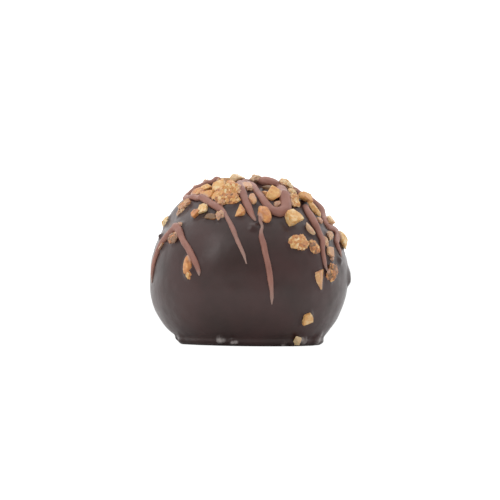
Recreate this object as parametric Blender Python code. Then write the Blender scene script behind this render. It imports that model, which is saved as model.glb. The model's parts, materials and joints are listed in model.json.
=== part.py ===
"""A dark chocolate truffle with a crust of chopped roasted nuts.

A soft ball is dipped in chocolate and set down. The coating runs down and sets as a low
foot under the ball, and chopped nuts are strewn over the crown while it is still wet. The
whole sweet is one piece, so it is one solid: ball, foot, beads of coating, and the nuts
that stand out of it.

Units are metres and +Z is up. The origin is at the middle of the base, on the surface that
the truffle stands on. -Y is the front and +X is to the right, seen from the front.
"""

import math
import random

import bmesh
import bpy
from mathutils import Matrix, Vector

# The coated ball. It is rounder above its widest ring than below it.
BALL_RADIUS = 0.0171
BALL_CENTRE_HEIGHT = 0.0115
CROWN_RISE = 0.0164
BELLY_DROP = 0.0153
BALL_SHIFT = Vector((-0.0003, 0.0002, 0.0))

# The foot, where the coating ran down and set on the tray.
FOOT_RADIUS = 0.0128
FOOT_EDGE_ROUNDING = 0.0008
FOOT_TOP = 0.0026
NECK_BLEND = 0.0006

# Slow unevenness of the poured coating: (lobes round the axis, how far they stand out,
# where they start).
BALL_LOBES = ((2, 0.00012, 0.6), (3, 0.00009, 2.1), (5, 0.00005, 4.0))
FOOT_LOBES = ((3, 0.00014, 1.0), (5, 0.00011, 3.2), (8, 0.00006, 5.1))

# Beads and runs of the coating itself: (azimuth from the front towards +X in degrees, height
# above the base, half width, how far it stands out). The first set on the right flank, and
# the others on the foot.
COATING_BEADS = (
    (86, 0.0112, 0.0014, 0.0008),
    (-24, 0.0010, 0.0013, 0.0004),
    (-13, 0.0008, 0.0008, 0.0003),
    (28, 0.0008, 0.0007, 0.0003),
    (52, 0.0012, 0.0014, 0.0003),
    (140, 0.0010, 0.0015, 0.0004),
    (-120, 0.0009, 0.0013, 0.0003),
)

# The nut crust over the crown. A chopped nut has flat broken faces, so each is the hull of a
# few corners, with its middle a little above the coating.
CRUST_SEED = 11
CRUST_NUTS = 68
CRUST_ANGLE = math.radians(58)
NUT_LENGTH = 0.0036
NUT_THICKNESS = 0.0024
NUT_CORNERS = 11
NUT_MIDDLE_ABOVE = 0.0002
GOLDEN_ANGLE = math.pi * (3 - math.sqrt(5))

# Nuts that stuck by themselves below the crust: (azimuth from the front towards +X, angle
# from the top, both in degrees, and size as a share of a crust nut's).
LONE_NUTS = (
    (-38, 84, 1.0),
    (34, 67, 1.2),
    (47, 69, 0.8),
    (62, 74, 0.8),
    (84, 66, 1.0),
    (59, 87, 1.0),
    (48, 92, 0.8),
    (43, 117, 0.7),
    (118, 92, 0.8),
    (150, 72, 1.0),
    (205, 80, 0.9),
    (260, 76, 1.0),
)

SEGMENTS = 64
CROWN_RINGS = 15
BELLY_RINGS = 10
NECK_RINGS = 4
EDGE_RINGS = 3


def clear_scene():
    for obj in list(bpy.data.objects):
        bpy.data.objects.remove(obj)


def linear_channel(value):
    """An sRGB channel, 0 to 1, as the linear value that a shader takes."""
    return value / 12.92 if value <= 0.04045 else ((value + 0.055) / 1.055) ** 2.4


def finish(name, hex_colour, roughness):
    """A plain material of a named colour."""
    material = bpy.data.materials.new(name)
    material.use_nodes = True
    shader = material.node_tree.nodes["Principled BSDF"]
    channels = [int(hex_colour[i : i + 2], 16) / 255 for i in (0, 2, 4)]
    colour = [linear_channel(c) for c in channels]
    shader.inputs["Base Color"].default_value = (*colour, 1.0)
    shader.inputs["Roughness"].default_value = roughness
    shader.inputs["Metallic"].default_value = 0.0
    return material


def ball_radius_at(height):
    """The bare ball's radius at a height above the base: half ellipses that share a ring."""
    rise = height - BALL_CENTRE_HEIGHT
    reach = CROWN_RISE if rise > 0 else BELLY_DROP
    return BALL_RADIUS * math.sqrt(max(0.0, 1 - (rise / reach) ** 2))


def foot_radius_at(height):
    """The bare foot's radius: an upright wall on a quarter-round lower edge."""
    below = max(0.0, FOOT_EDGE_ROUNDING - height)
    inset = FOOT_EDGE_ROUNDING - math.sqrt(FOOT_EDGE_ROUNDING**2 - below**2)
    return FOOT_RADIUS - inset


def coat_radius_at(height):
    """Ball and foot run into each other in a soft hollow, as a poured coating does."""
    ball = ball_radius_at(height)
    if height > BALL_CENTRE_HEIGHT:
        return ball
    foot = foot_radius_at(height)
    return 0.5 * (ball + foot + math.hypot(ball - foot, NECK_BLEND))


def ring_heights():
    """Heights of the profile's points, from the base up, closer together round the foot."""
    edge = [
        FOOT_EDGE_ROUNDING * (1 - math.cos(0.5 * math.pi * k / EDGE_RINGS))
        for k in range(EDGE_RINGS + 1)
    ]
    neck = [
        FOOT_EDGE_ROUNDING + (FOOT_TOP - FOOT_EDGE_ROUNDING) * k / NECK_RINGS
        for k in range(1, NECK_RINGS + 1)
    ]
    low_angle = math.asin((BALL_CENTRE_HEIGHT - FOOT_TOP) / BELLY_DROP)
    belly = [
        BALL_CENTRE_HEIGHT - BELLY_DROP * math.sin(low_angle * (1 - k / BELLY_RINGS))
        for k in range(1, BELLY_RINGS + 1)
    ]
    crown = [
        BALL_CENTRE_HEIGHT + CROWN_RISE * math.sin(0.5 * math.pi * k / CROWN_RINGS)
        for k in range(1, CROWN_RINGS + 1)
    ]
    return edge + neck + belly + crown


def turned_coat():
    """The even coat as a bmesh: its profile spun round the axis, and the base closed flat."""
    bm = bmesh.new()
    heights = ring_heights()
    points = [Vector((coat_radius_at(z), 0, z)) for z in heights[:-1]]
    points.append(Vector((0, 0, heights[-1])))
    profile = [bm.verts.new(p) for p in points]
    edges = [bm.edges.new(pair) for pair in zip(profile, profile[1:])]
    bmesh.ops.spin(
        bm,
        geom=profile + edges,
        cent=(0, 0, 0),
        axis=(0, 0, 1),
        angle=2 * math.pi,
        steps=SEGMENTS,
        use_merge=True,
    )
    bmesh.ops.remove_doubles(bm, verts=bm.verts, dist=1e-6)
    bmesh.ops.holes_fill(bm, edges=[e for e in bm.edges if e.is_boundary], sides=0)
    bmesh.ops.recalc_face_normals(bm, faces=bm.faces)
    return bm


def bead_places():
    """(point, half width, stand) of each bead of coating."""
    places = []
    for azimuth, height, half_width, stand in COATING_BEADS:
        turn = math.radians(azimuth)
        radius = coat_radius_at(height)
        point = Vector((radius * math.sin(turn), -radius * math.cos(turn), height))
        places.append((point, half_width, stand))
    return places


def lobes_at(lobes, azimuth):
    return sum(stand * math.sin(n * azimuth + start) for n, stand, start in lobes)


def ball_share(height):
    """0 on the base and 1 on the ball, with an even change across the neck."""
    t = min(1.0, max(0.0, height / FOOT_TOP))
    return t * t * (3 - 2 * t)


def shape_unevenly(bm):
    """Moves the even coat's points out to its lobes and beads. The base stays at z = 0."""
    beads = bead_places()
    for vert in bm.verts:
        even = vert.co.copy()
        azimuth = math.atan2(even.x, -even.y)
        share = ball_share(even.z)
        lobes = share * lobes_at(BALL_LOBES, azimuth) * even.xy.length / BALL_RADIUS
        lobes += (1 - share) * lobes_at(FOOT_LOBES, azimuth)
        bead = max(s * math.exp(-(((even - p).length / w) ** 2)) for p, w, s in beads)
        sideways = Vector((even.x, even.y, 0)).normalized()
        vert.co = even + sideways * (lobes + bead) + BALL_SHIFT * share


def nut_places():
    """(azimuth, angle from the top, size share) of every nut: an even spiral over the crown,
    and then the lone ones."""
    rng = random.Random(CRUST_SEED)
    places = []
    for k in range(CRUST_NUTS):
        share = (k + 0.4) / CRUST_NUTS
        angle = math.acos(1 - share * (1 - math.cos(CRUST_ANGLE)))
        azimuth = k * GOLDEN_ANGLE + rng.uniform(-0.12, 0.12)
        places.append((azimuth, angle, rng.uniform(0.75, 1.15)))
    for azimuth, angle, size in LONE_NUTS:
        places.append((math.radians(azimuth), math.radians(angle), size))
    return places


def on_ball(azimuth, angle_from_top):
    """The point on the ball in a direction from its centre, and the way out of it there."""
    across = math.sin(angle_from_top)
    up = math.cos(angle_from_top)
    reach = CROWN_RISE if up > 0 else BELLY_DROP
    side = Vector((math.sin(azimuth), -math.cos(azimuth), 0))
    middle = Vector((0, 0, BALL_CENTRE_HEIGHT)) + BALL_SHIFT
    point = middle + side * BALL_RADIUS * across + Vector((0, 0, reach * up))
    out = side * across / BALL_RADIUS + Vector((0, 0, up / reach))
    return point, out.normalized()


def add_nut(bm, rng, azimuth, angle, size):
    """One broken nut: the hull of a few corners on a flattened ball, turned at random."""
    point, out = on_ball(azimuth, angle)
    place = Matrix.Translation(point + out * NUT_MIDDLE_ABOVE)
    place @= out.to_track_quat("Z", "Y").to_matrix().to_4x4()
    place @= Matrix.Rotation(rng.uniform(0, 2 * math.pi), 4, "Z")
    wide = NUT_LENGTH * size * rng.uniform(0.75, 1.0)
    half = Vector((NUT_LENGTH * size, wide, NUT_THICKNESS * size)) / 2
    corners = []
    for k in range(NUT_CORNERS):
        up = 1 - 2 * (k + 0.5) / NUT_CORNERS
        turn = k * GOLDEN_ANGLE + rng.uniform(-0.4, 0.4)
        across = math.sqrt(1 - up * up)
        on_unit = Vector((across * math.cos(turn), across * math.sin(turn), up))
        corners.append(bm.verts.new(place @ (on_unit * half)))
    bmesh.ops.convex_hull(bm, input=corners)


def object_of(name, bm, material):
    mesh = bpy.data.meshes.new(name)
    bm.to_mesh(mesh)
    bm.free()
    mesh.materials.append(material)
    made = bpy.data.objects.new(name, mesh)
    bpy.context.scene.collection.objects.link(made)
    return made


def build_nuts():
    """All the nuts in one object, which the coat takes up with a Boolean."""
    rng = random.Random(CRUST_SEED + 1)
    bm = bmesh.new()
    for azimuth, angle, size in nut_places():
        add_nut(bm, rng, azimuth, angle, size)
    bmesh.ops.recalc_face_normals(bm, faces=bm.faces)
    nuts = object_of("nuts", bm, finish("roasted_nut", "C9935C", 0.6))
    nuts.hide_render = True
    nuts.display_type = "WIRE"
    return nuts


def build_truffle():
    bm = turned_coat()
    shape_unevenly(bm)
    truffle = object_of("truffle", bm, finish("dark_chocolate", "3A2823", 0.38))
    truffle.data.shade_smooth()
    truffle.data.set_sharp_from_angle(angle=math.radians(40))
    crust = truffle.modifiers.new("nut_crust", "BOOLEAN")
    crust.operation = "UNION"
    crust.object = build_nuts()
    crust.use_self = True
    return truffle


clear_scene()
build_truffle()
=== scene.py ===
# %% [markdown]
# # A chocolate truffle with chopped nuts and a milk chocolate drizzle
#
# A dipped truffle is a soft ball of ganache in a shell of dark chocolate. It is set down while
# the shell is still liquid, so the chocolate runs down and sets as a low foot. Chopped roasted
# nuts are strewn on the wet crown, and last a thin stream of milk chocolate is swung across it.
#
# This lesson makes the truffle in the same order: the coat, the nuts, the drizzle, then what
# each is made of, and then the light. The frame is the solid part, which gives every size.

# %% Load the frame
import json
import math
import random

import bmesh
import bpy
from mathutils import Matrix, Vector
from mathutils.kdtree import KDTree

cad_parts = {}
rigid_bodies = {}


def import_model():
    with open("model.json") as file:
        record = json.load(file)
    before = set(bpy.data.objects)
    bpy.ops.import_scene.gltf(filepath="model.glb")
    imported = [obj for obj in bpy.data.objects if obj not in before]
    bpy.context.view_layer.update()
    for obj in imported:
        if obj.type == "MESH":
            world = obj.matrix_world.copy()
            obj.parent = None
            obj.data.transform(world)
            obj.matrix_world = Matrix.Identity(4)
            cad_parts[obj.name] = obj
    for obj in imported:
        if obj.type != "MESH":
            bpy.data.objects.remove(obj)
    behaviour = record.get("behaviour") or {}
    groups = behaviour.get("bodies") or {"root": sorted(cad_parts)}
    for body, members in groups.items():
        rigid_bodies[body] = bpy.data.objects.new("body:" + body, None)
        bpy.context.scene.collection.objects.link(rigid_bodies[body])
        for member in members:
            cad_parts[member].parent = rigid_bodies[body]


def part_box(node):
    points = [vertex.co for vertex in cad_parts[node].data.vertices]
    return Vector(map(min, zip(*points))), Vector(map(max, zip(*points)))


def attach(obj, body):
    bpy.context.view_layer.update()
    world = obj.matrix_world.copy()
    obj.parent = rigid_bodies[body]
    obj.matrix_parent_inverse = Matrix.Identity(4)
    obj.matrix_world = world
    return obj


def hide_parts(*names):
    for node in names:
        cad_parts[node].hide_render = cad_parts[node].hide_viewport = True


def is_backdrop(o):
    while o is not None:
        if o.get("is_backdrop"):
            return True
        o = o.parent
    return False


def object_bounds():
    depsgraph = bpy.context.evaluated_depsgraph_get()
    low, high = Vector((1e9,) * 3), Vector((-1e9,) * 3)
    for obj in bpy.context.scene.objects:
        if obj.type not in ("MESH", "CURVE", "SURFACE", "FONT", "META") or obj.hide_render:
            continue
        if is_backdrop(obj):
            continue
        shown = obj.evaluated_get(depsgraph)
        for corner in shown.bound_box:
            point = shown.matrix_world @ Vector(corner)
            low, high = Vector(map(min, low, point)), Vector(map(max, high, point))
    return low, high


for spare in list(bpy.data.objects):
    bpy.data.objects.remove(spare)
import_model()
CAD_LOW, CAD_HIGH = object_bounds()
print("frame:", [round(1000 * side, 2) for side in CAD_HIGH - CAD_LOW], "mm")

# %% [markdown]
# ## Sizes
#
# A few proportions of the solid part give the ball. It was soft when it was set down, so it is
# flatter under its widest part than over it, and a short waist lies between the two halves.
#
# Places on it are given as on a globe: how many degrees round from the front, towards the
# right, and how many degrees down from the top, both seen from the ball's middle.

# %% Sizes from the frame
MM = 0.001
LOW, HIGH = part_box("truffle")
WIDTH = HIGH.x - LOW.x
HEIGHT = HIGH.z
BALL = 0.489 * WIDTH
RISE = 0.5495 * HEIGHT
DROP = 0.498 * HEIGHT
HALF_WAIST = 0.0206 * HEIGHT
MIDDLE = Vector(((LOW.x + HIGH.x) / 2, (LOW.y + HIGH.y) / 2, 0.3915 * HEIGHT))
FOOT = 0.367 * WIDTH
print("ball radius", round(BALL / MM, 2), "mm, foot radius", round(FOOT / MM, 2), "mm")


def way_out(around, down):
    """The direction from the ball's middle to a place on the globe."""
    a, d = math.radians(around), math.radians(down)
    return Vector((math.sin(a) * math.sin(d), -math.cos(a) * math.sin(d), math.cos(d)))


# %% [markdown]
# ## Working by hand, in code
#
# Each piece is modelled as you would in the window: add a primitive, go into edit mode, pick
# some vertices and use a tool on them. With no mouse, vertices are picked by a test on their
# place, and these few helpers do that.


# %% Helpers for picking and finishing
def start_piece(name):
    """Names the piece just made and moves its place into its mesh."""
    piece = bpy.context.object
    piece.name = piece.data.name = name
    bpy.ops.object.transform_apply(location=True, rotation=True, scale=True)
    return piece


def activate(piece):
    """Selects one piece and nothing else."""
    bpy.ops.object.select_all(action="DESELECT")
    piece.select_set(True)
    bpy.context.view_layer.objects.active = piece


def pick(piece, test):
    """In edit mode, selects the vertices whose place passes the test."""
    bpy.ops.mesh.select_all(action="DESELECT")
    bm = bmesh.from_edit_mesh(piece.data)
    for vert in bm.verts:
        vert.select_set(test(vert.co))
    bm.select_flush(True)
    bmesh.update_edit_mesh(piece.data)


def modify(piece, kind, **settings):
    """Adds a modifier and applies it at once."""
    activate(piece)
    modifier = piece.modifiers.new(kind.lower(), kind)
    for name, value in settings.items():
        setattr(modifier, name, value)
    bpy.ops.object.modifier_apply(modifier=modifier.name)


def unevenness(name, grain, kind="CLOUDS"):
    """A pattern for displacing, with lumps of a real size."""
    pattern = bpy.data.textures.new(name, kind)
    pattern.noise_scale = grain
    return pattern


bpy.ops.object.select_all(action="DESELECT")

# %% [markdown]
# ## The dark coat
#
# The coat could be a spun profile, but a sphere already has the right rings. The two halves are
# stretched to their own heights and moved apart by the waist, and proportional editing gives
# the crown a fuller shoulder. The bottom is cut away at the neck, and the cut edge is extruded
# ring by ring down into the foot. Those last rings go a little below the base, and a cut there
# later leaves the flat underside that the tray gave it.

# %% The ball and its foot
# The shoulder: the heights it lies between, how much it swells, and how far that spreads.
SHOULDER_BAND = (0.85 * HEIGHT, 0.9 * HEIGHT)
SHOULDER_SWELL = 1.06
SHOULDER_SPREAD = 4 * MM
NECK = 1.9 * MM
# (height, share of the foot's radius) of each ring below the neck
FOOT_RINGS = (
    (1.35 * MM, 1.008),
    (0.95 * MM, 1.008),
    (0.55 * MM, 1.008),
    (0.20 * MM, 0.992),
    (-0.10 * MM, 0.950),
    (-0.60 * MM, 0.900),
    (-0.60 * MM, 0.400),
)

bpy.ops.mesh.primitive_uv_sphere_add(segments=96, ring_count=48, radius=BALL, location=MIDDLE)
coat = start_piece("dark_coat")
bpy.ops.object.mode_set(mode="EDIT")
for half, reach in ((1, RISE), (-1, DROP)):
    pick(coat, lambda p: (p.z - MIDDLE.z) * half > 1e-6)
    bpy.ops.transform.resize(value=(1, 1, reach / BALL), center_override=MIDDLE)
    bpy.ops.transform.translate(value=(0, 0, half * HALF_WAIST))
pick(coat, lambda p: SHOULDER_BAND[0] < p.z < SHOULDER_BAND[1])
bpy.ops.transform.resize(
    value=(SHOULDER_SWELL, SHOULDER_SWELL, 1),
    center_override=MIDDLE,
    use_proportional_edit=True,
    proportional_edit_falloff="SMOOTH",
    proportional_size=SHOULDER_SPREAD,
)
bpy.ops.mesh.select_all(action="SELECT")
bpy.ops.mesh.bisect(plane_co=(0, 0, NECK), plane_no=(0, 0, 1), clear_inner=True)
ring_height = NECK
ring_radius = BALL * math.sqrt(1 - ((MIDDLE.z - HALF_WAIST - NECK) / DROP) ** 2)
for height, share in FOOT_RINGS:
    bpy.ops.mesh.extrude_region_move(
        TRANSFORM_OT_translate={"value": (0, 0, height - ring_height)}
    )
    factor = FOOT * share / ring_radius
    bpy.ops.transform.resize(value=(factor, factor, 1), center_override=(*MIDDLE.xy, 0))
    ring_height, ring_radius = height, FOOT * share
bpy.ops.mesh.edge_face_add()
bpy.ops.mesh.select_all(action="SELECT")
bpy.ops.mesh.normals_make_consistent(inside=False)
bpy.ops.object.mode_set(mode="OBJECT")
modify(coat, "SUBSURF", levels=2, render_levels=2)
print("coat:", len(coat.data.polygons), "faces,", round(coat.dimensions.x / MM, 2), "mm wide")

# %% [markdown]
# ## Set chocolate is never quite even
#
# The shell is thicker where it ran slower. Two Displace modifiers with cloudy patterns give it
# slow waves some 9 mm long and shallower dimples of 3 mm. Proportional editing then pulls at
# one place after another, as a brush would. The crown is fuller on the left and the flank on the
# right, the foot's left edge is drawn in, a bead has set on the right flank, and small drips
# have set all round the foot.

# %% Waves
modify(coat, "DISPLACE", texture=unevenness("slow_waves", 9 * MM), strength=0.35 * MM,
       mid_level=0.5, texture_coords="LOCAL")
modify(coat, "DISPLACE", texture=unevenness("dimples", 3 * MM), strength=0.1 * MM,
       mid_level=0.5, texture_coords="LOCAL")
print("with waves:", round(coat.dimensions.x / MM, 2), "mm wide")

# %% Beads and drips
# (round, down, how far it stands out in mm, how far it spreads in mm)
BEADS = (
    # the left side, from belly to crown, and the foot's edge below it
    (-90, 99, 0.12, 8.0),
    (-88, 28, 0.85, 8.0),
    (-88, 47, 0.70, 5.0),
    (-90, 127, -0.25, 3.0),
    (-76, 130.8, -0.60, 2.4),
    (-90, 130.8, -0.70, 2.4),
    (-104, 130.8, -0.60, 2.4),
    # the right flank, the foot below it, and the bead that set on the flank
    (90, 80, 0.35, 9.0),
    (90, 110, 0.10, 8.0),
    (88, 129.5, 0.35, 3.0),
    (87, 87.5, 0.50, 2.3),
    (87, 90.5, 0.30, 1.3),
    # the crown's right side, and small lumps here and there
    (58, 12, 0.50, 3.5),
    (90, 40, 0.30, 4.0),
    (67, 36.5, 0.90, 1.3),
    (68.5, 78, 0.40, 1.1),
    (-77, 65, 0.55, 0.9),
    (3, 58, 0.45, 1.2),
    # drips on the foot, at the front and then at the back
    (-20.5, 128.3, 0.75, 1.1),
    (-11, 129.4, 0.60, 0.8),
    (28, 130.2, 0.50, 0.8),
    (47.5, 128.3, 0.65, 1.0),
    (65, 127.5, 0.60, 2.0),
    (-62, 129, 0.25, 1.8),
    (118, 129, 0.40, 1.6),
    (165, 128, 0.45, 1.5),
    (214, 129, 0.35, 2.0),
    (250, 128, 0.40, 1.4),
)


def on_piece(piece, around, down):
    """Where a line from the ball's middle leaves the piece, and which way it faces there."""
    way = way_out(around, down)
    _, spot, normal, _ = piece.ray_cast(MIDDLE + 2 * BALL * way, -way)
    return spot, normal


for around, down, stand, spread in BEADS:
    activate(coat)
    bpy.context.view_layer.update()
    spot, normal = on_piece(coat, around, down)
    bpy.ops.object.mode_set(mode="EDIT")
    nearest = min(bmesh.from_edit_mesh(coat.data).verts, key=lambda v: (v.co - spot).length)
    place = nearest.co.copy()
    pick(coat, lambda p: (p - place).length < 1e-7)
    bpy.ops.transform.translate(
        value=normal * stand * MM,
        use_proportional_edit=True,
        proportional_edit_falloff="SMOOTH",
        proportional_size=spread * MM,
    )
    bpy.ops.object.mode_set(mode="OBJECT")
print("pulled in or out:", len(BEADS), "places")

# %% [markdown]
# ## Chopped nuts
#
# Roasted nuts break into pieces of 1 to 4 mm with flat faces, sharp edges and here and there a
# round side of the whole kernel. Each kind is modelled once: a ball, a cube or a pyramid is
# stretched and then cut by planes. The cuts leave it open, and a Convex Hull closes them with
# flat broken faces. A Remesh gives it even faces, a first Displace chips its edges, and a second
# one is the grain of the break.

# %% Cut a block
FACE = 0.15 * MM
BALL_START = 1.2  # mm across, before it is stretched
CUT_AT = (0.55, 0.82)  # where planes cut, as a share of the way out to the block's side


def random_way(rng):
    """A direction at random, even over the whole globe."""
    up = rng.uniform(-1, 1)
    turn = rng.uniform(0, 2 * math.pi)
    across = math.sqrt(1 - up * up)
    return Vector((across * math.cos(turn), across * math.sin(turn), up))


def cut_block(name, start, seed, size, cuts):
    """A ball, cube or pyramid, stretched to (length, width, thickness) in mm and cut."""
    rng = random.Random(seed)
    bpy.ops.object.select_all(action="DESELECT")
    if start == "ball":
        bpy.ops.mesh.primitive_ico_sphere_add(subdivisions=3, radius=BALL_START / 2 * MM)
    elif start == "pyramid":
        bpy.ops.mesh.primitive_cone_add(vertices=4, radius1=0.8 * MM, radius2=0.1 * MM,
                                        depth=1.1 * MM, rotation=(0, math.pi / 2, 0))
    else:
        bpy.ops.mesh.primitive_cube_add(size=1.0 * MM)
    block = start_piece(name)
    bpy.ops.object.mode_set(mode="EDIT")
    bpy.ops.mesh.select_all(action="SELECT")
    bpy.ops.transform.resize(value=size, center_override=(0, 0, 0))
    for _ in range(cuts):
        way = random_way(rng)
        half = Vector(c * s / 2 for c, s in zip(way, size))
        reach = half.length * BALL_START if start == "ball" else sum(abs(part) for part in half)
        bpy.ops.mesh.select_all(action="SELECT")
        bpy.ops.mesh.bisect(
            plane_co=way * reach * MM * rng.uniform(*CUT_AT), plane_no=way, clear_outer=True
        )
    bpy.ops.mesh.select_all(action="SELECT")
    bpy.ops.mesh.convex_hull()
    bpy.ops.object.mode_set(mode="OBJECT")
    modify(block, "REMESH", mode="VOXEL", voxel_size=FACE)
    modify(block, "SMOOTH", factor=0.2, iterations=1)
    return block


# %% Broken nibs
# (name, what it starts as, seed, size in mm, how many cuts)
NIB_SHAPES = (
    ("block", "cube", 3, (2.9, 2.4, 2.0), 7),
    ("slab", "cube", 5, (3.0, 2.2, 1.3), 6),
    ("cube", "cube", 8, (2.2, 2.1, 1.9), 6),
    ("wedge", "cube", 12, (2.8, 2.6, 1.8), 9),
    ("kernel", "ball", 14, (3.8, 1.9, 1.7), 4),
    ("shard", "ball", 16, (2.4, 1.6, 1.3), 7),
    ("sliver", "cube", 17, (3.2, 1.2, 1.0), 6),
    ("spike", "ball", 18, (3.0, 1.5, 1.2), 9),
    ("tooth", "pyramid", 31, (2.6, 2.2, 1.5), 4),
)
chips = unevenness("chips", 0.9 * MM, "VORONOI")
grain = unevenness("grain", 0.35 * MM)
nibs = {}
for name, start, seed, size, cuts in NIB_SHAPES:
    nib = cut_block(name, start, seed, size, cuts)
    modify(nib, "DISPLACE", texture=chips, strength=0.07 * MM, mid_level=0.35)
    modify(nib, "DISPLACE", texture=grain, strength=0.06 * MM, mid_level=0.5)
    nibs[name] = nib
    print(name, [round(side / MM, 2) for side in nib.dimensions], "mm,",
          len(nib.data.polygons), "faces")

# %% [markdown]
# ## Caramelised crumbs
#
# Some of what was strewn is crumb: nut dust that stuck together in caramel while it roasted. It
# is as blocky as a nib, but knobbly all over, with granules of some 0.4 mm. They come from a
# cell pattern that pushes each cell's middle out.

# %% Crumbs
CRUMB_SHAPES = (
    ("clump", "ball", 21, (3.2, 2.5, 1.9), 6),
    ("round", "ball", 27, (2.3, 2.1, 1.8), 5),
    ("flake", "cube", 23, (2.7, 2.2, 1.2), 6),
    ("bit", "ball", 24, (1.6, 1.4, 1.2), 5),
)
granules = unevenness("granules", 0.42 * MM, "VORONOI")
crumbs = {}
for name, start, seed, size, cuts in CRUMB_SHAPES:
    crumb = cut_block(name, start, seed, size, cuts)
    modify(crumb, "DISPLACE", texture=chips, strength=-0.2 * MM, mid_level=0.35)
    modify(crumb, "DISPLACE", texture=granules, strength=-0.34 * MM, mid_level=0.35)
    crumbs[name] = crumb
    print(name, [round(side / MM, 2) for side in crumb.dimensions], "mm,",
          len(crumb.data.polygons), "faces")
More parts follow.
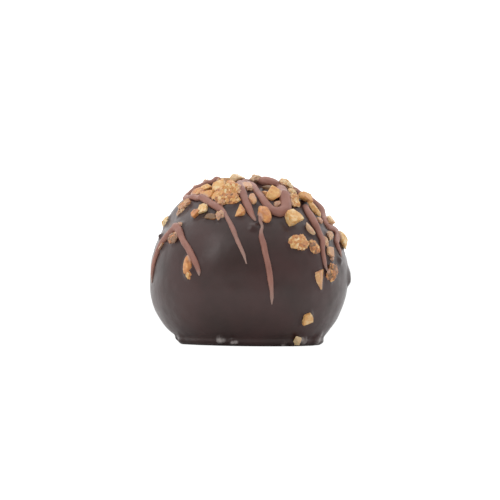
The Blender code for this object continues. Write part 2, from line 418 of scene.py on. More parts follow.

# %% [markdown]
# ## Where the nuts lie
#
# The nuts that show best from the front are listed one by one, one line each. A nut lies with its
# flat side on the coat, its length turned anticlockwise from level, and it may lean, which
# turns its face from the coat's own slope towards the side.
#
# Each nut gets a tone from 0, pale blanched, to 1, dark roasted, and a share of milk chocolate
# that was smeared on it. Its material reads both.

# %% Nuts laid one by one
# shape, then round, down, turn and lean in degrees, then length, width, thickness and how far
# it stands out in mm, and then tone and milk
LAID_NUTS = (
    ("block", -40, 27.5, 25, 35, 2.6, 2.3, 1.8, 1.4, 0.22, 0.1),
    ("flake", -18, 31, 20, 30, 3.4, 3.0, 1.9, 1.6, 0.38, 0.25),
    ("clump", -17, 38, 5, 20, 4.0, 2.4, 1.6, 1.1, 0.50, 0.3),
    ("cube", -33, 35, 30, 20, 2.0, 1.7, 1.5, 0.9, 0.50, 0.2),
    ("slab", -44, 35, 12, 25, 2.8, 1.9, 1.4, 1.0, 0.50, 0.3),
    ("clump", -26, 34, 5, 25, 5.0, 4.0, 2.0, 1.1, 0.50, 0.2),
    ("round", -27, 38, 0, 20, 2.4, 1.8, 1.4, 0.9, 0.50, 0.3),
    ("sliver", -60, 29.2, 30, 25, 2.7, 1.3, 1.1, 1.0, 0.38, 0.2),
    ("sliver", -62, 33.8, 20, 25, 3.0, 1.6, 1.3, 1.0, 0.56, 0.45),
    ("bit", -86, 19, 0, 0, 1.8, 1.6, 1.6, 1.35, 0.50, 0.5),
    ("bit", -87, 25, 0, 0, 1.8, 1.6, 1.7, 1.4, 0.50, 0.5),
    ("bit", -87, 31, 0, 0, 1.8, 1.6, 1.4, 1.1, 0.50, 0.5),
    ("cube", -39, 46, 20, 15, 1.8, 1.7, 1.4, 1.0, 0.12, 0.0),
    ("cube", -44, 49.5, 60, 10, 1.7, 1.5, 1.2, 0.9, 0.70, 0.1),
    ("sliver", -28, 52, -5, 0, 2.4, 1.1, 0.9, 0.6, 1.05, 0.0),
    ("bit", -21, 51, 30, 10, 1.9, 1.9, 1.4, 1.0, 0.50, 0.8),
    ("bit", -24, 42, 0, 20, 1.6, 1.4, 1.1, 1.0, 0.50, 0.6),
    ("tooth", -6.2, 46.6, 98, 10, 2.4, 1.9, 1.5, 1.1, 0.46, 0.35),
    ("block", -80, 7.5, 0, 20, 2.4, 2.0, 1.8, 1.5, -0.1, 0.5),
    ("slab", -82, 14.5, 0, 0, 2.2, 1.6, 1.4, 1.1, 0.10, 0.6),
    ("flake", -68, 43, 60, 0, 2.8, 2.1, 1.3, 0.8, 0.42, 0.6),
    ("bit", -67, 48, 45, 0, 2.0, 1.4, 1.0, 0.7, 0.15, 0.7),
    ("round", -84, 56, 60, 0, 2.2, 1.7, 1.5, 0.8, -0.20, 0.1),
    ("round", -53.5, 66.5, 20, 0, 2.7, 2.1, 1.4, 1.0, 0.92, 0.45),
    ("bit", -54, 58, 0, 0, 1.3, 1.1, 0.9, 0.7, 0.30, 0.7),
    ("sliver", -66, 71, 55, 0, 1.6, 0.9, 0.7, 0.5, 0.98, 0.3),
    ("kernel", -37, 82.8, 88, 0, 3.8, 1.8, 1.4, 0.9, 0.62, 0.0),
    ("bit", -35.6, 87.6, 60, 0, 1.5, 1.3, 1.1, 0.7, 0.42, 0.2),
    ("bit", 1, 25, 0, 10, 1.3, 1.1, 1.0, 0.9, 0.50, 0.8),
    ("spike", 3, 37.5, -80, 10, 2.3, 1.3, 1.1, 1.0, 0.50, 0.7),
    ("shard", 17, 31, 0, 20, 1.3, 1.0, 1.0, 0.8, 0.40, 0.5),
    ("block", 24.5, 35, 50, 25, 2.8, 2.3, 1.8, 1.4, 0.38, 0.0),
    ("bit", 25, 42, 10, 10, 1.7, 1.4, 1.1, 0.8, 0.50, 0.8),
    ("kernel", 11, 50, -70, 15, 3.6, 2.3, 1.6, 1.4, 0.62, 0.3),
    ("flake", 42.5, 39.5, 80, 25, 2.9, 2.3, 1.4, 1.2, 0.36, 0.35),
    ("cube", 31.5, 53.2, 15, 5, 2.6, 2.5, 2.4, 2.0, 0.22, 0.0),
    ("round", 60, 29.5, 0, 15, 2.0, 1.7, 1.3, 1.1, 0.20, 0.2),
    ("kernel", 65, 45, -50, 20, 3.9, 1.7, 1.3, 1.2, 0.30, 0.0),
    ("shard", 60, 54, 30, 0, 1.5, 1.4, 1.1, 0.8, 0.50, 0.7),
    ("bit", 86, 45, 70, 0, 1.6, 1.4, 1.2, 0.8, 0.50, 0.8),
    ("spike", 43, 59, -60, 0, 2.5, 1.3, 1.0, 0.8, 0.15, 0.7),
    ("clump", 32, 68, 5, 0, 3.9, 2.9, 1.8, 1.2, 0.46, 0.35),
    ("round", 42.5, 71, -60, 0, 2.8, 2.1, 1.4, 0.9, 0.66, 0.4),
    ("bit", 64, 64, 0, 0, 2.1, 1.9, 1.2, 0.9, 0.20, 0.75),
    ("bit", 55, 67.5, 70, 0, 2.1, 1.4, 1.1, 0.8, 0.20, 0.75),
    ("cube", 56, 73.6, 75, 0, 1.8, 1.5, 1.2, 0.8, 0.24, 0.7),
    ("shard", 57, 77.8, 20, 0, 1.4, 1.0, 0.8, 0.5, 1.00, 0.6),
    ("clump", 55.6, 84.8, 60, 0, 3.6, 3.2, 1.6, 1.0, 0.85, 0.35),
    ("tooth", 44.9, 90.0, -72, 0, 3.3, 2.2, 1.2, 0.8, 0.42, 0.6),
    ("cube", 39.7, 112.1, 20, 0, 2.1, 1.9, 1.5, 0.8, 0.28, 0.1),
    ("tooth", 39.0, 127.1, 128, 20, 1.9, 2.1, 1.3, 1.15, -0.3, 0.3),
)
print("laid by hand:", len(LAID_NUTS), "nuts")

# %% [markdown]
# The others are strewn. A spiral from the top gives even places, a seeded random step unsettles
# them, and a place is dropped where another nut already lies. At the front they keep further
# off, because the nuts there are listed one by one. The crust thins out at its edge, and a few
# strays lie lower, on the sides and the back.

# %% Nuts strewn at random
STREWN = 190
CRUST_EDGE = 50  # degrees down
SPIRAL_TURN = 180 * (3 - math.sqrt(5))  # degrees, the golden angle
GAP = 1.9 * MM
GAP_IN_FRONT = 3.6 * MM
FACES_FRONT = 0.05  # cosine of the degrees round
FRONT_STARTS = 24  # degrees down
LEANS = (-10, 25)  # degrees
SIZES = (0.6, 0.95)  # share of the shape's own size
MILKS = (0.0, 0.0, 0.3, 0.6)
STANDS = (0.45, 0.7)  # share of its thickness that stands out
# (round, down) of the strays, and of places that stay bare
STRAYS = ((118, 90), (150, 72), (205, 80), (240, 74), (228, 64), (128, 61), (176, 96))
BARE = ((-98, 48), (-102, 43), (-88, 46), (21, 15), (45, 4), (34, 10))


def strewn_nuts(seed):
    """Rows like those laid by hand, at seeded places on the crown and below it."""
    rng = random.Random(seed)
    shapes = {**nibs, **crumbs}
    names = list(nibs) * 2 + list(crumbs)
    taken = [BALL * way_out(around, down) for _, around, down, *_ in LAID_NUTS]
    taken += [BALL * way_out(around, down) for around, down in BARE]
    rows = []
    for k in range(STREWN + len(STRAYS)):
        if k < STREWN:
            share = (k + 0.5) / STREWN
            down = CRUST_EDGE * math.sqrt(share) + rng.gauss(0, 1.5 + 3.0 * share)
            around = k * SPIRAL_TURN + rng.uniform(-9, 9)
        else:
            around, down = STRAYS[k - STREWN]
        name = rng.choice(names)
        turn = rng.uniform(0, 360)
        lean = rng.uniform(*LEANS)
        size = rng.uniform(*SIZES)
        tone = rng.betavariate(2, 2)
        milk = rng.choice(MILKS)
        stand = rng.uniform(*STANDS)
        spot = BALL * way_out(around, down)
        in_front = math.cos(math.radians(around)) > FACES_FRONT and down > FRONT_STARTS
        gap = min((spot - other).length for other in taken)
        if gap < (GAP_IN_FRONT if in_front else GAP):
            continue
        taken.append(spot)
        sides = [side * size / MM for side in shapes[name].dimensions]
        rows.append((name, around, down, turn, lean, *sides, stand * sides[2], tone, milk))
    return rows


STREWN_NUTS = strewn_nuts(seed=5)
print("strewn:", len(STREWN_NUTS), "nuts")

# %% [markdown]
# Each nut is a copy of its shape with a mesh of its own. One matrix sets it down: it scales the
# copy, turns it, leans it, lays it on the coat's slope and moves it to its place. Its tone and
# milk are written on its points as attributes, so that one material can tell the nuts apart
# after they are joined.


# %% One nut in its place
def lay_nut(shape, around, down, turn, lean, length, width, thick, stand, tone, milk):
    """A copy of a nut at its place on the coat."""
    master = nibs.get(shape) or crumbs.get(shape)
    spot, normal = on_piece(coat, around, down)
    nut = master.copy()
    nut.data = master.data.copy()
    bpy.context.collection.objects.link(nut)
    place = Matrix.Translation(spot + normal * (stand - thick / 2) * MM)
    place @= normal.to_track_quat("Z", "Y").to_matrix().to_4x4()
    place @= Matrix.Rotation(math.radians(lean), 4, "X")
    place @= Matrix.Rotation(math.radians(turn), 4, "Z")
    sides = [side * MM / own for side, own in zip((length, width, thick), master.dimensions)]
    nut.matrix_world = place @ Matrix.Diagonal((*sides, 1))
    for name, value in (("tone", tone), ("milk", milk)):
        attribute = nut.data.attributes.new(name, "FLOAT", "POINT")
        for point in attribute.data:
            point.value = value
    return nut


# %% Lay the nuts on the coat
def join_pieces(name, pieces):
    """Makes one piece of several."""
    bpy.ops.object.select_all(action="DESELECT")
    for piece in pieces:
        piece.select_set(True)
    bpy.context.view_layer.objects.active = pieces[0]
    bpy.ops.object.join()
    joined = start_piece(name)
    bpy.ops.object.shade_smooth_by_angle(angle=math.radians(30))
    return joined


bpy.context.view_layer.update()
laid = [(nut[0], lay_nut(*nut)) for nut in (*LAID_NUTS, *STREWN_NUTS)]
nut_nibs = join_pieces("nut_nibs", [nut for shape, nut in laid if shape in nibs])
nut_crumbs = join_pieces("nut_crumbs", [nut for shape, nut in laid if shape in crumbs])
all_nuts = (nut_nibs, nut_crumbs)
for piece in all_nuts:
    print(piece.name, len(piece.data.polygons), "faces")

# %% [markdown]
# ## The drizzle
#
# Milk chocolate is run off a spoon that swings from front to back over the crown. Each strand
# lies over the nuts, bridges the small gaps between them, turns back in a loop, or falls down
# the steep side and thins out to a tip.
#
# The route of each strand is a few points given on the globe, with the width there, and
# a smooth curve runs through them.

# %% Routes
# (round, down, width in mm) along each strand
STRANDS = (
    # the left hook: over the top, down the left edge, across the front and down
    ((165, 14, 1.0), (-125, 13, 1.0), (-98, 16, 1.2), (-83, 21, 1.3), (-83, 29, 1.3),
     (-81, 38.4, 1.4), (-66, 37.7, 1.2), (-48, 38, 1.3), (-33, 42, 1.4), (-25, 45, 1.4),
     (-20, 48, 0.9), (-16, 52, 0.75), (-11, 59, 0.9), (-7, 67, 0.8), (-3, 75, 0.65),
     (-1, 81, 0.35)),
    # the left flank, like an upturned V: its left leg, and then its right
    ((-54, 59, 1.4), (-59, 61.5, 1.6), (-64, 66, 1.4), (-68, 71, 1.2), (-72, 78, 1.1),
     (-75, 85, 0.9), (-77, 93, 0.4)),
    ((-60, 59, 1.5), (-56, 59.5, 1.7), (-51, 62, 1.4), (-44, 68, 1.2), (-38, 73, 1.2),
     (-33, 79, 1.15), (-30, 84, 0.9), (-29, 88, 0.3)),
    # the long run right of the middle
    ((8, 52, 0.9), (8, 55, 0.7), (9, 58, 0.5), (8, 61, 0.7), (8, 65, 1.0), (9, 69, 1.1),
     (10, 75, 1.1), (11.5, 82, 1.1), (12.7, 90, 1.0), (13.5, 97, 0.75), (14, 104, 0.3)),
    # over the top to the middle of the front
    ((186, 34, 1.1), (184, 20, 1.2), (170, 8, 1.3), (-35, 7, 1.3), (-25, 13, 1.4),
     (-17, 19, 1.4), (-11, 26, 1.45), (-5.5, 35, 1.5), (-2, 41, 1.5), (0.5, 46, 1.3),
     (3, 51, 0.9), (5, 54, 0.5)),
    # the loop right of the middle, with a pool at its turn
    ((194, 28, 1.0), (175, 10, 1.2), (-52, 3, 1.2), (5, 14, 1.3), (9, 24, 1.3),
     (12, 34, 1.35), (15, 42, 1.5), (19, 46.5, 1.7), (25, 47.5, 2.1), (30, 45.5, 2.2),
     (33, 41, 2.3), (37, 34, 2.4), (46, 27, 2.3), (64, 21, 1.9), (100, 18, 1.4),
     (130, 24, 1.3), (142, 36, 1.2), (147, 50, 1.1), (151, 66, 0.9), (153, 78, 0.4)),
    # along the ridge and down the back
    ((-128, 24, 1.1), (-130, 10, 1.2), (70, 3, 1.3), (48, 9.5, 1.9), (45, 13.5, 2.4),
     (55, 16, 2.4), (76, 17.5, 2.0), (92, 21, 1.4), (112, 30, 1.2), (122, 44, 1.4), (113, 54, 1.2),
     (110, 66, 1.0), (109, 80, 0.8), (109, 88, 0.4)),
    # the wide run on the right
    ((57, 42.5, 1.3), (54, 46, 1.5), (53, 50, 1.7), (52, 56, 1.6),
     (52, 61, 1.3), (52, 67, 1.1), (50, 73, 1.0), (50, 79, 0.9), (51, 85, 0.4)),
    # the right edge
    ((118, 24, 1.2), (98, 30, 1.5), (90, 38, 1.6), (88, 43, 1.6), (81, 49, 1.5),
     (74, 53, 1.2), (71, 57, 1.2), (79, 58.5, 1.4), (87, 61, 1.6), (79, 64.5, 1.4),
     (71, 68, 1.1), (71, 72, 0.9), (72, 77, 0.4)),
    # the back
    ((-140, 10, 1.2), (-172, 24, 1.3), (-166, 40, 1.3), (-160, 54, 1.2), (-157, 70, 1.0),
     (-156, 86, 0.8), (-156, 92, 0.4)),
    ((-104, 24, 1.2), (-114, 36, 1.3), (-124, 47, 1.5), (-133, 53, 1.7), (-140, 47, 1.6),
     (-138, 34, 1.3), (-150, 22, 1.2)),
    ((-109, 44, 1.1), (-111, 56, 1.2), (-112, 68, 1.0), (-112, 80, 0.8), (-112, 86, 0.4)),
    ((178, 26, 1.2), (172, 40, 1.4), (164, 49, 1.7), (157, 46, 1.6), (156, 34, 1.3),
     (150, 20, 1.2)),
    ((182, 44, 1.1), (184, 58, 1.2), (187, 72, 1.0), (188, 84, 0.8), (189, 91, 0.4)),
)
STEP = 0.3 * MM  # between samples along a strand
print("routes:", len(STRANDS), "strands,", sum(len(strand) for strand in STRANDS), "points")


# %% Sample a strand
def through(points, k, t):
    """A smooth curve's point between points k and k + 1 (Catmull-Rom)."""
    a, b, c, d = (points[min(max(k + n, 0), len(points) - 1)] for n in (-1, 0, 1, 2))
    return 0.5 * (
        2 * b + (c - a) * t + (2 * a - 5 * b + 4 * c - d) * t**2 + (3 * b - a - 3 * c + d) * t**3
    )


def sampled(strand):
    """(way out from the middle, width) at even steps along a strand."""
    points = [BALL * way_out(around, down) for around, down, _ in strand]
    widths = [width * MM for _, _, width in strand]
    samples = []
    for k in range(len(points) - 1):
        steps = max(2, round((points[k + 1] - points[k]).length / STEP))
        for n in range(steps):
            t = n / steps
            width = widths[k] + (widths[k + 1] - widths[k]) * t * t * (3 - 2 * t)
            samples.append((through(points, k, t).normalized(), width))
    samples.append((points[-1].normalized(), widths[-1]))
    return samples


# %% [markdown]
# Each point of the curve is dropped onto whatever lies highest, coat or nut, and then the strand
# is pulled a little tight, as a thick liquid is before it sets. It rests on what lies under its
# whole width, so a narrow nut presses into it. It is as wide as its route says but only four
# fifths as high, because it flattened before it set.

# %% Lay a strand over coat and nuts
FLATTENED = 0.8
PRESSED_IN = 0.25 * MM  # by what lies under it, at most
# shares of the strand's width: how far to each side it feels for what lies under it, and how
# far its middle lies over that
FEELS_ASIDE = 0.3
LIES_OVER = 0.1


def reach_of(way):
    """How far from the ball's middle the outermost piece lies."""
    far = MIDDLE + 2 * BALL * way
    hits = [piece.ray_cast(far, -way) for piece in (coat, *all_nuts)]
    return max((spot - MIDDLE).length for found, spot, _, _ in hits if found)


def under(samples, k):
    """How far out it lies under a sample, on average over the strand's width."""
    way, width = samples[k]
    before, after = samples[max(k - 1, 0)][0], samples[min(k + 1, len(samples) - 1)][0]
    aside = way.cross(after - before).normalized() * FEELS_ASIDE * width / BALL
    return sum(reach_of((way + aside * side).normalized()) for side in (-1, 0, 1)) / 3


def laid_over(samples, rounds=5):
    """How far out the strand lies at each sample: over all that is under it, and pulled tight."""
    floor_of = [under(samples, k) for k in range(len(samples))]
    height = list(floor_of)
    for _ in range(rounds):
        for _ in range(2):
            ends = [height[0]] + height + [height[-1]]
            height = [(a + 2 * b + c) / 4 for a, b, c in zip(ends, ends[1:], ends[2:])]
        height = [max(h, low - PRESSED_IN) for h, low in zip(height, floor_of)]
    return height


# %% A tube for a strand
def strand_tube(name, samples, heights):
    """A round tube through the samples, and then pressed flat."""
    bpy.ops.object.select_all(action="DESELECT")
    bpy.ops.curve.primitive_nurbs_path_add()
    curve = bpy.context.object.data
    curve.splines.clear()
    spline = curve.splines.new("POLY")
    spline.points.add(len(samples) - 1)
    middles = KDTree(len(samples))
    for k, ((way, width), height) in enumerate(zip(samples, heights)):
        spot = MIDDLE + way * (height + LIES_OVER * width)
        spline.points[k].co = (*spot, 1)
        spline.points[k].radius = width / 2 / MM
        middles.insert(spot, k)
    middles.balance()
    curve.bevel_depth = MM
    curve.bevel_resolution = 3
    curve.use_fill_caps = True
    bpy.ops.object.convert(target="MESH")
    tube = bpy.context.object
    tube.name = name
    for vert in tube.data.vertices:
        middle, k, _ = middles.find(vert.co)
        way = samples[k][0]
        vert.co -= way * (vert.co - middle).dot(way) * (1 - FLATTENED)
    return tube


# %% Lay all strands
bpy.context.view_layer.update()
strand_points = []
strand_tubes = []
for number, strand in enumerate(STRANDS):
    samples = sampled(strand)
    heights = laid_over(samples)
    strand_tubes.append(strand_tube(f"strand_{number}", samples, heights))
    for (way, width), height in zip(samples, heights):
        strand_points.append((MIDDLE + way * height, width))
print("drizzle:", len(STRANDS), "strands")

# %% [markdown]
# Where strands cross or turn back they ran together before they set. One voxel Remesh over all
# the tubes merges them, and a Smooth takes its steps away.

# %% Melt the strands together
drizzle = join_pieces("milk_drizzle", strand_tubes)
modify(drizzle, "REMESH", mode="VOXEL", voxel_size=0.14 * MM)
modify(drizzle, "SMOOTH", factor=0.5, iterations=3)
modify(drizzle, "DISPLACE", texture=unevenness("drizzle_flow", 1.6 * MM), strength=0.12 * MM,
       mid_level=0.5, texture_coords="LOCAL")
bpy.ops.object.shade_smooth()
print("drizzle:", len(drizzle.data.polygons), "faces")

# %% [markdown]
# A few nuts landed last and stuck on top of the drizzle. They are laid like the others, only
# later, so no strand runs over them. One dark shard among them sits in the hollow under the
# ridge strand and stands in for the shade there.

# %% The last nuts
# the same columns as LAID_NUTS
LATE_NUTS = (
    ("clump", 76, 21.5, -25, 15, 3.5, 2.4, 1.8, 2.0, 0.05, 0.4),
    ("block", 60, 38.5, -20, 15, 2.3, 1.8, 1.5, 1.7, 0.45, 0.4),
    ("cube", 79, 54, 80, 0, 1.7, 1.6, 1.4, 1.3, 0.15, 0.5),
    ("kernel", 84, 67.5, 85, 0, 3.4, 2.1, 1.6, 1.45, 0.2, 0.0),
    ("bit", 40, 4.5, 0, 0, 2.0, 1.8, 1.6, 1.7, -0.5, 0.75),
    ("bit", 32, 9.5, 20, 10, 1.8, 1.5, 1.4, 1.5, -0.5, 0.75),
    # a dark nut in the hollow under the ridge strand, standing in for the shade there: a painted
    # shadow
    ("shard", 30, 21.5, 0, 25, 2.4, 1.7, 1.2, 0.7, 1.2, 0.0),
)
for piece, kinds in ((nut_nibs, nibs), (nut_crumbs, crumbs)):
    late = [lay_nut(*nut) for nut in LATE_NUTS if nut[0] in kinds]
    join_pieces(piece.name, [piece, *late])
    print(piece.name, len(piece.data.polygons), "faces")
for master in (*nibs.values(), *crumbs.values()):
    bpy.data.objects.remove(master)

# %% [markdown]
# ## The coat climbs up the nuts
#
# The nuts fell into liquid chocolate, which rose a little against their sides. Vertex Weight
# Proximity gives each point of the coat a weight by how near a nut is, and a Displace lifts the
# coat by that weight.

# %% A rim of chocolate round each nut
RIM = 0.2 * MM  # how high the chocolate rose
RIM_STARTS = 0.55 * MM  # from the nut
RIM_FULL = 0.05 * MM  # from the nut
for nuts in all_nuts:
    near = f"near_{nuts.name}"
    coat.vertex_groups.new(name=near).add(range(len(coat.data.vertices)), 1.0, "REPLACE")
    modify(coat, "VERTEX_WEIGHT_PROXIMITY", vertex_group=near, target=nuts,
           proximity_mode="GEOMETRY", proximity_geometry={"FACE"},
           min_dist=RIM_STARTS, max_dist=RIM_FULL)
    modify(coat, "DISPLACE", vertex_group=near, strength=RIM, mid_level=0)
coat.vertex_groups.clear()
print("rims round", len(laid) + len(LATE_NUTS), "nuts")

# %% [markdown]
# ## The flat underside
#
# The tray gave the foot a flat underside. The foot's last rings go below the base, and one cut
# with Bisect at the base takes them off and fills the cut.

# %% Cut the base flat
activate(coat)
bpy.ops.object.mode_set(mode="EDIT")
bpy.ops.mesh.select_all(action="SELECT")
bpy.ops.mesh.bisect(
    plane_co=(0, 0, 0), plane_no=(0, 0, 1), use_fill=True, clear_inner=True, threshold=1e-6
)
bpy.ops.object.mode_set(mode="OBJECT")
bpy.ops.object.shade_smooth_by_angle(angle=math.radians(50))
print("coat:", len(coat.data.polygons), "faces,", round(coat.dimensions.x / MM, 2), "mm wide")

# %% [markdown]
# ## Painted highlights on the foot
#
# The drips on the foot stick out and would catch small glints of light. Those glints are painted
# into the coat's colour as pale spots. A few overlapping spots make one ragged highlight. An
# attribute on the coat's points says how pale it is painted there, because such a mark has a
# place of its own, which no pattern would hit.

# %% Where highlights are painted on the foot
# (round, down, how pale, how far it spreads in mm)
PAINTED_GLINTS = (
    (-22.2, 128.1, 0.7, 0.6),
    (-20.0, 127.7, 1.0, 0.7),
    (-18.0, 128.1, 0.7, 0.5),
    (-10.8, 128.7, 0.8, 0.5),
    (-8.8, 129.3, 1.0, 0.5),
    (27.5, 130.6, 0.9, 0.4),
    (45.0, 127.7, 0.8, 0.7),
    (47.0, 128.4, 0.6, 0.9),
    (68.0, 127.4, 0.5, 1.8),
    (73.0, 128.6, 0.5, 1.6),
    (140, 128.5, 0.6, 0.8),
    (212, 128.2, 0.8, 0.6),
    (215, 128.6, 0.6, 0.7),
)
bpy.context.view_layer.update()
painted_glint_spots = [(on_piece(coat, around, down)[0], pale, spread * MM)
           for around, down, pale, spread in PAINTED_GLINTS]
# pale spots painted into the coat's colour, standing in for highlights on the foot's drips
painted_glint = coat.data.attributes.new("painted_glint", "FLOAT", "POINT")
for vert, value in zip(coat.data.vertices, painted_glint.data):
    if vert.co.z < NECK:
        value.value = max(
            pale * max(0.0, 1 - (vert.co - spot).length / spread) for spot, pale, spread in painted_glint_spots
        )
print("scuffed:", sum(value.value > 0 for value in painted_glint.data), "points of the coat")

# %% [markdown]
# ## Milk chocolate smeared on the nuts
#
# Nuts next to a strand carry a smear of it. An attribute says how close each point of a nut is
# to the nearest strand, and the nut's material paints milk chocolate there. The drizzle gets an
# attribute too, which grows where its strand is thinner than a millimetre. There a greyer sheen
# is painted into its colour, in place of the highlights on the narrow tips.

# %% How near the drizzle is
SMEAR = 0.6 * MM  # how far milk chocolate spread beside a strand
near_strand = KDTree(len(strand_points))
for index, (spot, _) in enumerate(strand_points):
    near_strand.insert(spot, index)
near_strand.balance()
for nuts in all_nuts:
    smear = nuts.data.attributes.new("smear", "FLOAT", "POINT")
    for vert, value in zip(nuts.data.vertices, smear.data):
        _, index, distance = near_strand.find(vert.co)
        edge = distance - strand_points[index][1] / 2
        value.value = max(0.0, 1 - max(0.0, edge) / SMEAR)
    print(nuts.name, "smeared:", sum(value.value > 0 for value in smear.data), "points")
# the drizzle's narrow tips get a grey painted into their colour, as a painted sheen
painted_tip_sheen = drizzle.data.attributes.new("painted_tip_sheen", "FLOAT", "POINT")
for vert, value in zip(drizzle.data.vertices, painted_tip_sheen.data):
    width = strand_points[near_strand.find(vert.co)[1]][1]
    value.value = min(1.0, max(0.0, 2 - 2 * width / MM))

# %% [markdown]
# ## Materials
#
# Colours are written as sRGB hex values, as a colour picker shows them, and shaders work in
# linear light, so one function turns them. One more function adds a node, sets it and links it.

# %% Helpers for materials
MIX_A, MIX_B, MIX_RESULT = 6, 7, 2  # the colour sockets of a Mix node, by their place


def colour(hex_code):
    """An sRGB hex colour as the linear RGBA that shaders take."""
    channels = [int(hex_code[k : k + 2], 16) / 255 for k in (1, 3, 5)]
    linear = [c / 12.92 if c <= 0.04045 else ((c + 0.055) / 1.055) ** 2.4 for c in channels]
    return (*linear, 1.0)


def add(tree, kind, inputs=None, stops=None, **settings):
    """Adds a node. Each input is a value, or another node's output to link to."""
    made = tree.nodes.new(kind)
    for name, value in settings.items():
        setattr(made, name, value)
    for name, value in (inputs or {}).items():
        if isinstance(value, bpy.types.NodeSocket):
            tree.links.new(value, made.inputs[name])
        else:
            made.inputs[name].default_value = value
    if stops:
        ramp = made.color_ramp.elements
        ramp[0].position, ramp[0].color = stops[0]
        ramp[1].position, ramp[1].color = stops[-1]
        for position, shade in stops[1:-1]:
            ramp.new(position).color = shade
    return made


def new_material(name):
    """A material with its tree, its shader and the piece's own coordinates."""
    material = bpy.data.materials.new(name)
    material.use_nodes = True
    tree = material.node_tree
    shader = tree.nodes["Principled BSDF"]
    place = add(tree, "ShaderNodeTexCoord").outputs["Object"]
    return material, tree, shader, place


def per_mm(size):
    """A pattern's scale for lumps of that many millimetres."""
    return 1 / (size * MM)


# %% [markdown]
# ## Dark couverture
#
# Couverture is chocolate with enough cocoa butter to run thin and set with a sheen. One flat
# brown would look like plastic, so a cloud pattern of 7 mm changes its tone a little, and a
# finer one changes both its gloss and its level. An attribute mixes in pale spots, which are
# highlights painted on the foot's drips.


# %% Dark couverture
def dark_couverture():
    """Dark couverture, tempered and set in air. It is nearly black brown under a satin skin of
    cocoa butter, with slow cloudy changes in tone and gloss where it cooled unevenly. On the
    drips of its foot, pale spots are painted into its colour as highlights."""
    material, tree, shader, place = new_material("dark_couverture")
    cloud = add(tree, "ShaderNodeTexNoise",
                {"Vector": place, "Scale": per_mm(7), "Detail": 3.0, "Roughness": 0.5})
    tone = add(tree, "ShaderNodeValToRGB", {"Fac": cloud.outputs["Fac"]},
               stops=((0.35, colour("#311F1C")), (0.65, colour("#3D2624"))))
    # pale spots painted into the colour as highlights on the foot's drips
    painted_glint = add(tree, "ShaderNodeAttribute", attribute_name="painted_glint").outputs["Fac"]
    body = add(tree, "ShaderNodeMix",
               {0: painted_glint, MIX_A: tone.outputs["Color"], MIX_B: colour("#C4BAB6")},
               data_type="RGBA")
    haze = add(tree, "ShaderNodeTexNoise",
               {"Vector": place, "Scale": per_mm(2.2), "Detail": 4.0, "Roughness": 0.6})
    gloss = add(tree, "ShaderNodeMapRange",
                {"Value": haze.outputs["Fac"], "From Min": 0.3, "From Max": 0.7,
                 "To Min": 0.28, "To Max": 0.4})
    skin = add(tree, "ShaderNodeTexNoise",
               {"Vector": place, "Scale": per_mm(0.5), "Detail": 2.0, "Roughness": 0.5})
    slow = add(tree, "ShaderNodeBump",
               {"Height": haze.outputs["Fac"], "Strength": 1.0, "Distance": 0.04 * MM})
    fine = add(tree, "ShaderNodeBump",
               {"Height": skin.outputs["Fac"], "Strength": 1.0, "Distance": 0.006 * MM,
                "Normal": slow.outputs["Normal"]})
    tree.links.new(body.outputs[MIX_RESULT], shader.inputs["Base Color"])
    tree.links.new(gloss.outputs["Result"], shader.inputs["Roughness"])
    tree.links.new(fine.outputs["Normal"], shader.inputs["Normal"])
    shader.inputs["IOR"].default_value = 1.45
    return material


# %% [markdown]
# ## Milk chocolate
#
# The drizzle is the same kind of surface in another colour, so it is made in the same way, with
# finer patterns because the strands are slender, and with less gloss. Towards a narrow tip a
# greyer colour is mixed in, which is a painted sheen.


# %% Milk chocolate
def milk_chocolate():
    """Milk chocolate, run on in a fine stream and set. Milk fat makes it paler, pinkish brown and
    softer in its gloss than the dark coat. Where it runs out to a narrow tip, a grey sheen is
    painted into its colour in place of the highlights there."""
    material, tree, shader, place = new_material("milk_chocolate")
    cloud = add(tree, "ShaderNodeTexNoise",
                {"Vector": place, "Scale": per_mm(2.5), "Detail": 3.0, "Roughness": 0.5})
    tone = add(tree, "ShaderNodeValToRGB", {"Fac": cloud.outputs["Fac"]},
               stops=((0.3, colour("#865A4E")), (0.7, colour("#9B6C5E"))))
    # a grey sheen painted into the colour at the narrow tips
    painted_tip_sheen = add(tree, "ShaderNodeAttribute", attribute_name="painted_tip_sheen").outputs["Fac"]
    body = add(tree, "ShaderNodeMix",
               {0: painted_tip_sheen, MIX_A: tone.outputs["Color"], MIX_B: colour("#967A70")},
               data_type="RGBA")
    skin = add(tree, "ShaderNodeTexNoise",
               {"Vector": place, "Scale": per_mm(0.6), "Detail": 3.0, "Roughness": 0.55})
    gloss = add(tree, "ShaderNodeMapRange",
                {"Value": skin.outputs["Fac"], "From Min": 0.3, "From Max": 0.7,
                 "To Min": 0.42, "To Max": 0.55})
    fine = add(tree, "ShaderNodeBump",
               {"Height": skin.outputs["Fac"], "Strength": 1.0, "Distance": 0.02 * MM})
    tree.links.new(body.outputs[MIX_RESULT], shader.inputs["Base Color"])
    tree.links.new(gloss.outputs["Result"], shader.inputs["Roughness"])
    tree.links.new(fine.outputs["Normal"], shader.inputs["Normal"])
    shader.inputs["IOR"].default_value = 1.45
    return material


# %% [markdown]
# ## Roasted nut
#
# A roasted nut is cream inside and browner towards its skin, so no two broken pieces have one
# colour. A color ramp holds the tones in order. Each nut's own tone picks a place on the ramp,
# a mottle and a cell pattern of one tone for each granule move it up and down, and the milk
# chocolate is painted on top. The crumbs take the same function with stronger patterns.

# %% Roasted nut
NUT_TONES = (
    (0.0, "#E2C79A"),
    (0.3, "#D5A566"),
    (0.6, "#C6854E"),
    (0.85, "#AE7043"),
    (1.0, "#76573A"),
)
GRANULE = 0.45  # mm


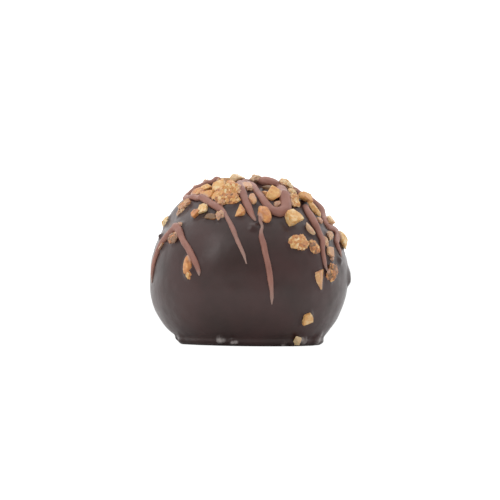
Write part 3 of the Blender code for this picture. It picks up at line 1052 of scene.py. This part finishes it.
def roasted_nut(name, spread, grain, depth):
    """Chopped roasted nut: cream to golden orange by how far it roasted. Each granule of its
    break has its own tone, dark skin and caramel show as specks, and its faces are oily. Spread
    is how much the granules' tones differ, and grain and depth are the break's, in mm."""
    material, tree, shader, place = new_material(name)
    tone = add(tree, "ShaderNodeAttribute", attribute_name="tone").outputs["Fac"]
    mottle = add(tree, "ShaderNodeTexNoise",
                 {"Vector": place, "Scale": per_mm(1.1), "Detail": 4.0, "Roughness": 0.6})
    shift = add(tree, "ShaderNodeMapRange",
                {"Value": mottle.outputs["Fac"], "From Min": 0.25, "From Max": 0.75,
                 "To Min": -0.27, "To Max": 0.27})
    granules = add(tree, "ShaderNodeTexVoronoi", {"Vector": place, "Scale": per_mm(GRANULE)})
    own = add(tree, "ShaderNodeMapRange",
              {"Value": granules.outputs["Color"], "To Min": -spread, "To Max": spread})
    both = add(tree, "ShaderNodeMath", {0: shift.outputs["Result"], 1: own.outputs["Result"]},
               operation="ADD")
    roast = add(tree, "ShaderNodeMath", {0: tone, 1: both.outputs["Value"]},
                operation="ADD", use_clamp=True)
    body = add(tree, "ShaderNodeValToRGB", {"Fac": roast.outputs["Value"]},
               stops=[(position, colour(code)) for position, code in NUT_TONES])
    smear = add(tree, "ShaderNodeAttribute", attribute_name="smear").outputs["Fac"]
    milk = add(tree, "ShaderNodeAttribute", attribute_name="milk").outputs["Fac"]
    coated = add(tree, "ShaderNodeMath", {0: smear, 1: milk}, operation="MAXIMUM")
    ragged = add(tree, "ShaderNodeMath",
                 {0: coated.outputs["Value"], 1: mottle.outputs["Fac"]}, operation="MULTIPLY")
    covered = add(tree, "ShaderNodeMapRange",
                  {"Value": ragged.outputs["Value"], "From Min": 0.15, "From Max": 0.45,
                   "To Max": 0.85})
    painted = add(tree, "ShaderNodeMix",
                  {0: covered.outputs["Result"], MIX_A: body.outputs["Color"],
                   MIX_B: colour("#BA937E")}, data_type="RGBA")
    bumps = add(tree, "ShaderNodeTexNoise",
                {"Vector": place, "Scale": per_mm(grain), "Detail": 4.0, "Roughness": 0.65})
    fine = add(tree, "ShaderNodeBump",
               {"Height": bumps.outputs["Fac"], "Strength": 1.0, "Distance": depth * MM})
    tree.links.new(painted.outputs[MIX_RESULT], shader.inputs["Base Color"])
    tree.links.new(fine.outputs["Normal"], shader.inputs["Normal"])
    shader.inputs["Roughness"].default_value = 0.44
    shader.inputs["IOR"].default_value = 1.47
    shader.inputs["Subsurface Weight"].default_value = 0.15
    shader.inputs["Subsurface Radius"].default_value = (1.0, 0.5, 0.25)
    shader.inputs["Subsurface Scale"].default_value = 0.4 * MM
    return material


# %% [markdown]
# ## Finishes and bodies
#
# Each piece gets its material and the body that it rides on. The table also names the slot of
# the record that its finish belongs to, which is not used here. The coat stands for the solid
# part, which is hidden from here on.

# %% Put the materials on
FINISHES = (
    (coat, dark_couverture(), "coating"),
    (drizzle, milk_chocolate(), "drizzle"),
    (nut_nibs, roasted_nut("roasted_nut", spread=0.16, grain=0.35, depth=0.06), "nuts"),
    (nut_crumbs, roasted_nut("caramelised_crumb", spread=0.5, grain=0.5, depth=0.2), "nuts"),
)
for piece, material, slot in FINISHES:
    piece.data.materials.clear()
    piece.data.materials.append(material)
    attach(piece, "root")
    print(piece.name, "is", material.name)
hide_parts("truffle")

# %% [markdown]
# ## Floor, light and camera
#
# The truffle stands on white paper. The room is white overhead and behind, a little dimmer at
# the sides and darker at the front. So the satin ball is dark in the middle and has the grey
# rims that a dark ball shows at its edges. One tall soft box on the left gives it a soft
# highlight.
#
# What the camera sees of the floor and the room is plain white, and what lights the truffle is
# the real paper and the real room. A Light Path node tells the two apart.

# %% Floor
UNDER_FOOT = 0.02 * MM
WHITE_SEEN = 0.93  # share of plain white in what the camera sees of the paper
WHITE_GLOW = 1.06  # a little over 1 makes up for the shade in the rest
bpy.ops.object.select_all(action="DESELECT")
bpy.ops.mesh.primitive_plane_add(size=6.0, location=(0, 0, -UNDER_FOOT))
floor = start_piece("floor")
floor_paint = bpy.data.materials.new("white_paper")
floor_paint.use_nodes = True
floor_tree = floor_paint.node_tree
floor_shader = floor_tree.nodes["Principled BSDF"]
floor_shader.inputs["Base Color"].default_value = colour("#F0F0F0")
floor_shader.inputs["Roughness"].default_value = 0.9
to_camera = add(floor_tree, "ShaderNodeLightPath").outputs["Is Camera Ray"]
share = add(floor_tree, "ShaderNodeMath", {0: to_camera, 1: WHITE_SEEN}, operation="MULTIPLY")
white = add(floor_tree, "ShaderNodeEmission", {"Color": (1, 1, 1, 1), "Strength": WHITE_GLOW})
seen = add(floor_tree, "ShaderNodeMixShader",
           {0: share.outputs["Value"], 1: floor_shader.outputs["BSDF"],
            2: white.outputs["Emission"]})
floor_tree.links.new(seen.outputs["Shader"], floor_tree.nodes["Material Output"].inputs["Surface"])
floor.data.materials.append(floor_paint)
floor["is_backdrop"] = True
print("floor:", [round(side, 1) for side in floor.dimensions.xy], "m")

# %% Room
room = bpy.data.worlds.new("white_room")
bpy.context.scene.world = room
room.use_nodes = True
room_tree = room.node_tree
towards = add(room_tree, "ShaderNodeTexCoord").outputs["Generated"]
parts = add(room_tree, "ShaderNodeSeparateXYZ", {"Vector": towards})
backwards = add(room_tree, "ShaderNodeMapRange",
                {"Value": parts.outputs["Y"], "From Min": -0.9, "From Max": 0.8,
                 "To Min": 0.46, "To Max": 1.75})
overhead = add(room_tree, "ShaderNodeMapRange",
               {"Value": parts.outputs["Z"], "From Min": 0.3, "From Max": 0.9,
                "To Min": 0.0, "To Max": 0.4})
lit = add(room_tree, "ShaderNodeMath",
          {0: backwards.outputs["Result"], 1: overhead.outputs["Result"]}, operation="ADD")
sideways = add(room_tree, "ShaderNodeMath", {0: parts.outputs["X"]}, operation="ABSOLUTE")
side_dims = add(room_tree, "ShaderNodeMapRange",
                {"Value": sideways.outputs["Value"], "From Min": 0.2, "From Max": 0.9,
                 "To Min": 1.0, "To Max": 0.85})
dimmed = add(room_tree, "ShaderNodeMath",
             {0: lit.outputs["Value"], 1: side_dims.outputs["Result"]}, operation="MULTIPLY")
to_camera = add(room_tree, "ShaderNodeLightPath").outputs["Is Camera Ray"]
strength = add(room_tree, "ShaderNodeMath", {0: dimmed.outputs["Value"], 1: to_camera},
               operation="MAXIMUM")
background = room_tree.nodes["Background"]
background.inputs["Color"].default_value = (1, 1, 1, 1)
room_tree.links.new(strength.outputs["Value"], background.inputs["Strength"])
print("room:", len(room_tree.nodes), "nodes")

# %% Soft box
BOX_PLACE = Vector((-0.30, -0.27, 0.26))
BOX_WIDTH = 0.14
BOX_HEIGHT = 0.3
BOX_POWER = 0.34  # watts

bpy.ops.object.light_add(type="AREA", location=BOX_PLACE)
soft_box = bpy.context.object
soft_box.name = "tall_soft_box"
soft_box.rotation_euler = (MIDDLE - BOX_PLACE).to_track_quat("-Z", "Y").to_euler()
soft_box.data.shape = "RECTANGLE"
soft_box.data.size = BOX_WIDTH
soft_box.data.size_y = BOX_HEIGHT
soft_box.data.energy = BOX_POWER
print("soft box:", round(BOX_PLACE.length, 2), "m away")

# %% [markdown]
# The camera stands half a metre off, level with the ball, and has a long lens. Close up and with
# a short lens the near side would look swollen. It is rolled a little, as if held by hand.

# %% Camera
AIM_HEIGHT = 0.565 * HEIGHT
CAMERA_AWAY = 0.55
CAMERA_UP = 0.2  # degrees
CAMERA_ROLL = 0.7  # degrees
SEEN_WIDTH = 2.49 * WIDTH
SENSOR = 36  # mm

bpy.ops.object.camera_add()
camera = bpy.context.object
camera.data.sensor_width = SENSOR
camera.data.lens = SENSOR * CAMERA_AWAY / SEEN_WIDTH
up = math.radians(CAMERA_UP)
aim = Vector((0, 0, AIM_HEIGHT))
camera.location = aim + CAMERA_AWAY * Vector((0, -math.cos(up), math.sin(up)))
camera.rotation_euler = (aim - camera.location).to_track_quat("-Z", "Y").to_euler()
camera.rotation_euler.rotate_axis("Z", math.radians(CAMERA_ROLL))
bpy.context.scene.camera = camera
bpy.context.scene.view_settings.view_transform = "Standard"
print("camera: lens", round(camera.data.lens), "mm,", round(SEEN_WIDTH / MM), "mm seen across")

# %% [markdown]
# ## The size
#
# The visual model should fill the same box as the solid part. Both boxes are printed.

# %% Sizes and the last line
low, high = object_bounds()
boxes = {
    "cad": [list(CAD_LOW), list(CAD_HIGH)],
    "visual": [list(low), list(high)],
}
for name, (start, end) in boxes.items():
    print(name, [round((b - a) / MM, 2) for a, b in zip(start, end)], "mm")
